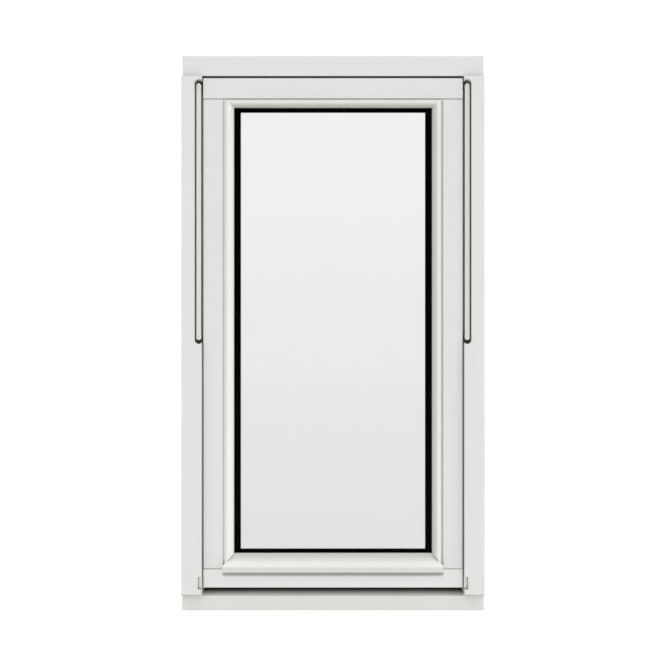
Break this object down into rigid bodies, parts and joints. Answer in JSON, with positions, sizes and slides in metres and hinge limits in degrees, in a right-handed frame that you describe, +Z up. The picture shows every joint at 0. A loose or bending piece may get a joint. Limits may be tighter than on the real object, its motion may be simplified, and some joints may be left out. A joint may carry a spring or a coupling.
{
  "type": "centre pivot window",
  "caption": "White timber centre pivot window with a double-glazed sash, moulded beads, a drip nose, jamb guide rails and a lever handle inside.",
  "frame": {"origin": "middle of the sill's underside", "axes": "+Z up, the outside faces -Y, the room is on the +Y side, +X to the right seen from outside"},
  "size_m": [0.59, 0.119, 1.0854],
  "materials": {
    "frame_paint": "white satin paint on planed timber",
    "sash_paint": "white satin paint on planed timber",
    "bead_paint": "white satin paint on moulded timber",
    "glass": "clear float glass",
    "spacer": "black spacer and edge seal",
    "gasket_rubber": "black glazing gasket",
    "seal_rubber": "black weatherstrip",
    "guide_coat": "off-white coated guide rail",
    "keep_zinc": "pale zinc plate",
    "pivot_steel": "plain steel",
    "handle_metal": "satin metal"
  },
  "bodies": {
    "root": {"head": "frame_paint", "left_jamb": "frame_paint", "right_jamb": "frame_paint", "sill": "frame_paint", "head_seal": "seal_rubber", "left_side_seal": "seal_rubber", "right_side_seal": "seal_rubber", "sill_seal": "seal_rubber", "sash_top_rail": "sash_paint", "sash_bottom_rail": "sash_paint", "left_sash_stile": "sash_paint", "right_sash_stile": "sash_paint", "outer_pane": "glass", "inner_pane": "glass", "spacer_frame": "spacer", "outer_gasket": "gasket_rubber", "inner_gasket": "gasket_rubber", "top_bead": "bead_paint", "left_side_bead": "bead_paint", "right_side_bead": "bead_paint", "bottom_bead": "bead_paint", "left_guide_rail": "guide_coat", "right_guide_rail": "guide_coat", "left_keep": "keep_zinc", "right_keep": "keep_zinc", "left_pivot": "pivot_steel", "right_pivot": "pivot_steel", "handle_rose": "handle_metal", "handle_lever": "handle_metal"}
  },
  "joints": []
}
